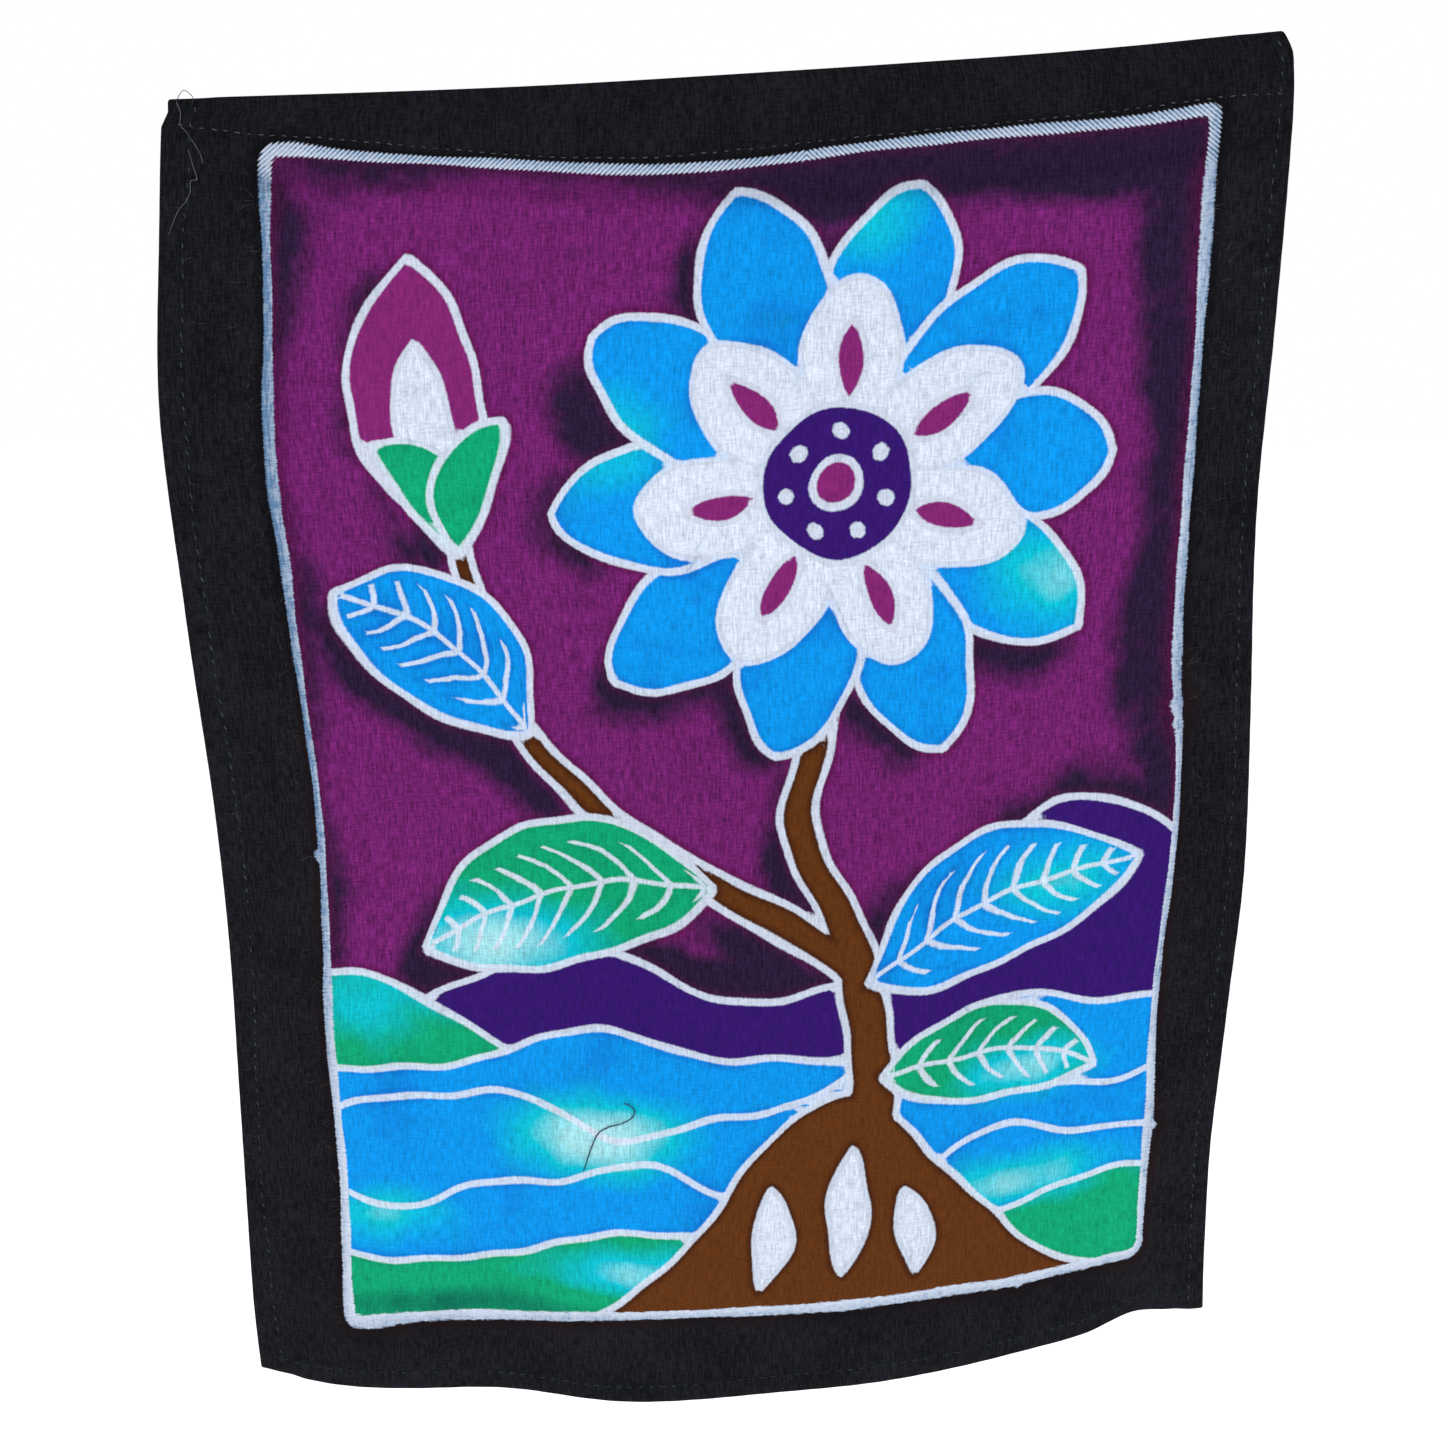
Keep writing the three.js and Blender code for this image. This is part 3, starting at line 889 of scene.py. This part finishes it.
def thread(name, dark, light):
    """Spun thread: two tones mixed by a coarse and a fine noise, with a still finer bump."""
    finish = Finish(name)
    place = finish.add("ShaderNodeTexCoord", {}, {}).outputs["Object"]
    tone = (finish.noise(place, 900.0, 3.0) * 0.9 + finish.noise(place, 90.0) * 0.6 + 0.5).held()
    bump = finish.add("ShaderNodeBump", {}, {
        "Strength": 0.4, "Distance": 0.00005, "Height": finish.noise(place, 2600.0)})
    return finish.surface({
        "Base Color": finish.mix(tone, dark, light), "Roughness": 0.75, "Normal": bump.outputs[0],
        "Specular IOR Level": 0.2,
    })


def plain_floor():
    """Pale matt floor with the faintest clouding."""
    finish = Finish("pale_floor")
    place = finish.add("ShaderNodeTexCoord", {}, {}).outputs["Object"]
    tone = finish.noise(place, 1.5) * 0.3 + 0.5
    colour = finish.mix(tone, srgb(246, 246, 246), srgb(251, 251, 251))
    return finish.surface({
        "Base Color": colour, "Roughness": 0.9, "Emission Color": (1, 1, 1, 1), "Emission Strength": 0.80,
    })


# Pieces

def make_cloth():
    """The hemmed cloth: one sheet folded at its hems, and thickened both ways."""
    p, q, x, y, behind = cloth_grid()
    faces = grid_faces(*q.shape).tolist()
    finishes = [batik("batik_face", 0.0), batik("batik_reverse", REVERSE_FADING)]
    cloth = new_piece("hanging_cloth", cloth_point(x, y, behind), faces, finishes)
    for name, parts in cloth_fields(p, q).items():
        attribute = cloth.data.attributes.new(name, "FLOAT_VECTOR", "POINT")
        attribute.data.foreach_set("vector", np.stack(parts, -1).astype(np.float32).ravel())
    wall = cloth.modifiers.new("cotton", "SOLIDIFY")
    wall.thickness = CLOTH * MM
    wall.offset = 0.0
    wall.material_offset = 1
    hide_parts("batik_cloth")
    return cloth


def tubes(name, centres, radii, material, sides=6):
    """Joined thin tubes, closed at both ends. centres and radii have a row for each tube, and a step along
    it.

    A ring's points turn round its centre in the plane of two directions: one square to the tube and to the
    viewer's line, and the one square to both.
    """
    along = np.gradient(centres, axis=1)
    along /= np.linalg.norm(along, axis=-1, keepdims=True)
    aside = np.cross(along, np.array([0.0, -1.0, 0.0]))
    aside /= np.linalg.norm(aside, axis=-1, keepdims=True)
    outward = np.cross(aside, along)
    turn = np.arange(sides) * math.tau / sides
    ring = aside[:, :, None] * np.cos(turn)[:, None] + outward[:, :, None] * np.sin(turn)[:, None]
    points = centres[:, :, None] + ring * radii[..., None, None]
    count, steps = radii.shape
    corner = np.arange(count * steps * sides).reshape(count, steps, sides)
    after = np.roll(corner, -1, axis=2)
    walls = np.stack([corner[:, :-1], corner[:, 1:], after[:, 1:], after[:, :-1]], -1).reshape(-1, 4)
    ends = np.concatenate([corner[:, 0], corner[:, -1, ::-1]])
    new_piece(name, points, walls.tolist() + ends.tolist(), [material])


def spaced(points, pitch):
    """Flat places at an even pitch along a smooth line through the points."""
    _, line = smooth_line(points, 40)
    length = np.concatenate([[0], np.cumsum(np.hypot(*np.diff(line, axis=0).T))])
    marks = np.arange(0, length[-1], pitch)
    return np.stack([np.interp(marks, length, line[:, axis]) for axis in (0, 1)], -1)


def everywhere(flat):
    """All of the flat places."""
    return np.ones(len(flat), bool)


def clear_of_flap(flat):
    """Those flat places that the top hem doesn't cover from behind."""
    return flat[:, 1] > read_table(TOP_HEM, flat[:, 0] / WIDTH) + 1.5


def stitch_row(name, points, pitch, dash, slant, radius, material, shown_behind):
    """Machine stitches on both faces of a hem: short rounded dashes whose ends dip into the cloth.

    dash is a stitch's share of the pitch, and slant how far its ends lie to either side of the row.
    """
    starts = spaced(points, pitch)
    way = np.gradient(starts, axis=0) / pitch
    aside = np.stack([-way[:, 1], way[:, 0]], -1)
    random = np.random.default_rng(len(starts))
    t = np.linspace(0, 1, 7)
    dip = np.sin(np.pi * t) ** 0.6
    pieces = []
    for behind_face in (False, True):
        offset = starts + way * pitch / 2 * behind_face
        keep = shown_behind(offset) if behind_face else everywhere(offset)
        offset, ways, asides = offset[keep], way[keep], aside[keep]
        wander = random.normal(0, 0.07, (len(offset), 1))
        leaning = random.normal(slant, 0.06, (len(offset), 1))
        length = pitch * dash * random.uniform(0.85, 1.15, (len(offset), 1))
        flat = offset[:, None] + ways[:, None] * (length * t)[..., None]
        flat = flat + asides[:, None] * (wander + leaning * (t - 0.5) * 2)[..., None]
        x, y = flat[..., 0], flat[..., 1]
        raised = radius * (1.5 * dip - 1.0)
        behind = hem_back(x, y) + CLOTH / 2 + raised if behind_face else -CLOTH / 2 - raised
        centres = cloth_point(x, y, behind)
        radii = radius * (0.55 + 0.45 * dip) * MM * random.uniform(0.85, 1.15, (len(offset), 1))
        pieces.append((centres, radii))
    centres, radii = (np.concatenate(parts) for parts in zip(*pieces))
    tubes(name, centres, radii, material)


def hem_back(x, y):
    """How far behind the front layer the last layer of the hems is at a place."""
    over = (y < read_table(TOP_HEM, x / WIDTH)) | (y > DROP - BOTTOM_HEM)
    beside = np.minimum(x, WIDTH - x) < side_hem(x)
    return np.where(over, 2 * LAYER + 3 * side_stack(x), np.where(beside, 2 * LAYER, 0))


def make_sewing():
    """Four rows of stitches: the top hem's slants across it, and the others run beside their edges."""
    across = np.linspace(4.0, WIDTH - 4.0, 30)
    top = np.stack([across, read_table(TOP_SEAM, across / WIDTH)], -1)
    bottom = np.stack([across, DROP - BOTTOM_SEAM - 0.3 * np.sin(across / 21)], -1)
    down = np.linspace(2.0, DROP - 2.0, 36)
    left = np.stack([read_table(LEFT_SEAM, down) + 0.15 * np.sin(down / 6), down], -1)
    right = np.stack([WIDTH - read_table(RIGHT_SEAM, down) - 0.15 * np.sin(down / 5), down], -1)
    pale_thread = thread("top_thread", srgb(40, 42, 44), srgb(100, 100, 98))
    dark_thread = thread("side_thread", srgb(20, 25, 38), srgb(80, 86, 96))
    teal_thread = thread("bottom_thread", srgb(18, 32, 38), srgb(52, 72, 80))

    # Name, line, pitch, dash, slant, the thread's radius and finish, and where the row shows on the back
    stitch_row("top_stitches", top, 2.9, 0.46, 0.0, 0.13, pale_thread, everywhere)
    stitch_row("left_stitches", left, 3.6, 0.38, -0.20, 0.17, dark_thread, clear_of_flap)
    stitch_row("right_stitches", right, 3.6, 0.38, -0.15, 0.16, dark_thread, clear_of_flap)
    stitch_row("bottom_stitches", bottom, 3.2, 0.46, 0.0, 0.15, teal_thread, everywhere)


def loose_thread(name, points, lift, radius, material):
    """A stray thread along a smooth line on the cloth, standing off it by the lifts given at its points."""
    fine, line = smooth_line([(*point, rise) for point, rise in zip(points, lift)], 10)
    x, y, rise = line.T
    centres = cloth_point(x, y, -CLOTH / 2 - radius - rise)
    ends = np.minimum(1, np.minimum(fine, fine[-1] - fine) * 6 + 0.35)
    tubes(name, centres[None], (radius * ends * MM)[None], material)


def make_loose_threads():
    """Thread tails at the top left corner, and a bit of dark thread caught on the picture."""
    tail = thread("tail_thread", srgb(58, 62, 70), srgb(118, 122, 128))
    dark = thread("stray_thread", srgb(14, 20, 38), srgb(46, 54, 82))
    loop = ((2.4, 2.4), (2.6, 0.3), (4.0, -1.6), (5.1, -1.6), (6.6, -0.1), (6.3, 1.4), (5.2, 2.4))
    first = ((2.4, 0.4), (2.7, 1.6), (4.8, 6.3), (6.1, 7.7), (8.5, 10.7), (10.2, 13.5), (11.1, 15.7))
    second = ((7.0, 12.0), (8.4, 16.4), (9.5, 19.3), (7.8, 19.8), (7.6, 22.4), (6.5, 24.6),
              (4.8, 26.8), (3.4, 30.1), (2.6, 32.9))
    stray = ((110.8, 263.7), (112.7, 264.7), (113.9, 266.2), (112.8, 268.5), (109.9, 269.9),
             (106.6, 271.0), (103.7, 273.0), (101.8, 277.3), (99.6, 284.3))
    loose_thread("corner_loop", loop, (0.1, 0.3, 0.6, 0.7, 0.6, 0.3, 0.0), 0.09, dark)
    loose_thread("corner_tail", first, (0.2, 0.5, 0.3, 0.1, 0.2, 0.2, 0.6), 0.09, tail)
    loose_thread("side_tail", second, (0.0, 0.1, 0.5, 0.1, 0.2, 0.1, 0.2, 0.2, 0.7), 0.085, tail)
    loose_thread("stray_bit", stray, (0.5, 0.3, 0.5, 0.1, 0.3, 0.1, 0.1, 0.1, 0.6), 0.16, dark)


def make_fuzz():
    """Short curled fibres that stand off the black border, thickest beside the wax frame."""
    random = np.random.default_rng(7)
    count = 260
    side = random.random(count) < 0.62
    q = random.uniform(14, DROP - 20, count)
    beside = np.abs(random.normal(0, 2.6, count)) + 1.2
    left = side_rows(FRAME_LEFT, q)[0] - beside
    right = side_rows(FRAME_RIGHT, q)[0] + beside
    p = np.where(side, left, right)
    scattered = random.random(count) < 0.3
    anywhere = np.where(side, random.uniform(3, 24, count), random.uniform(264, 277, count))
    p = np.where(scattered, anywhere, p)
    heading = np.where(side, np.pi, 0) + random.normal(0, 0.9, count)
    curl = random.normal(0, 1.1, count)
    length = random.uniform(0.9, 3.4, count)
    t = np.linspace(0, 1, 6)
    angle = heading[:, None] + curl[:, None] * t
    step = length[:, None] / (len(t) - 1)
    x = p[:, None] + np.cumsum(np.cos(angle) * step, axis=1)
    y = q[:, None] + np.cumsum(np.sin(angle) * step, axis=1)
    rise = CLOTH / 2 + 0.02 + random.uniform(0.1, 0.9, count)[:, None] * t
    radii = 0.04 * (1 - 0.5 * t) * random.uniform(0.8, 1.2, (count, 1)) * MM
    lint = thread("lint", srgb(50, 48, 48), srgb(104, 100, 98))
    tubes("lint", cloth_point(x, y, -rise), radii, lint, sides=4)


# Studio

CAMERA_PLACE = (-0.002, -0.4588, -0.0497)
CAMERA_PITCH = math.radians(-14.2)
FOCAL_LENGTH = 43.45
FLOOR_HEIGHT = -1.15
FLOOR_REACH = 12.0
SURROUND_LIGHT = 0.34       # how strongly the white surroundings light the cloth

# Lamps: name, place, size and power
LAMPS = (
    ("key", (-0.9, -1.6, 0.9), 1.4, 11.5), ("fill", (1.3, -1.5, 0.1), 1.6, 4.5),
    ("rear", (0.3, 1.6, 0.6), 1.6, 11.0),
)


def set_camera():
    """Camera at the photograph's angle: level and square on, looking down by its pitch."""
    lens = bpy.data.cameras.new("camera")
    lens.lens = FOCAL_LENGTH
    lens.sensor_width = 36.0
    camera = bpy.data.objects.new("camera", lens)
    camera.location = CAMERA_PLACE
    camera.rotation_euler = (math.pi / 2 + CAMERA_PITCH, 0, 0)
    bpy.context.scene.collection.objects.link(camera)
    bpy.context.scene.camera = camera


def add_light(name, place, size, power):
    """Square soft light, turned to the middle of the cloth."""
    lamp = bpy.data.lights.new(name, "AREA")
    lamp.size = size
    lamp.energy = power
    light = bpy.data.objects.new(name, lamp)
    light.location = place
    towards = Vector((0, 0, -DROP / 2 * MM)) - light.location
    light.rotation_euler = towards.to_track_quat("-Z", "Y").to_euler()
    bpy.context.scene.collection.objects.link(light)


def set_studio():
    """Pale floor, white surroundings, and soft lights before and behind the cloth."""
    mesh = bpy.data.meshes.new("floor")
    corners = ((-1, -1), (1, -1), (1, 1), (-1, 1))
    points = [(x * FLOOR_REACH, y * FLOOR_REACH, FLOOR_HEIGHT) for x, y in corners]
    mesh.from_pydata(points, [], [(0, 1, 2, 3)])
    mesh.materials.append(plain_floor())
    floor = bpy.data.objects.new("floor", mesh)
    bpy.context.scene.collection.objects.link(floor)

    world = bpy.data.worlds.new("studio")
    bpy.context.scene.world = world
    world.use_nodes = True
    nodes, links = world.node_tree.nodes, world.node_tree.links
    ray = nodes.new("ShaderNodeLightPath")
    strength = nodes.new("ShaderNodeMapRange")
    strength.inputs["To Min"].default_value = SURROUND_LIGHT
    strength.inputs["To Max"].default_value = 1.0
    links.new(ray.outputs["Is Camera Ray"], strength.inputs["Value"])
    links.new(strength.outputs[0], nodes["Background"].inputs["Strength"])
    nodes["Background"].inputs["Color"].default_value = (1, 1, 1, 1)

    for name, place, size, power in LAMPS:
        add_light(name, place, size, power)
    bpy.context.scene.view_settings.view_transform = "Standard"


set_camera()
cloth = make_cloth()
make_sewing()
make_loose_threads()
make_fuzz()
set_studio()
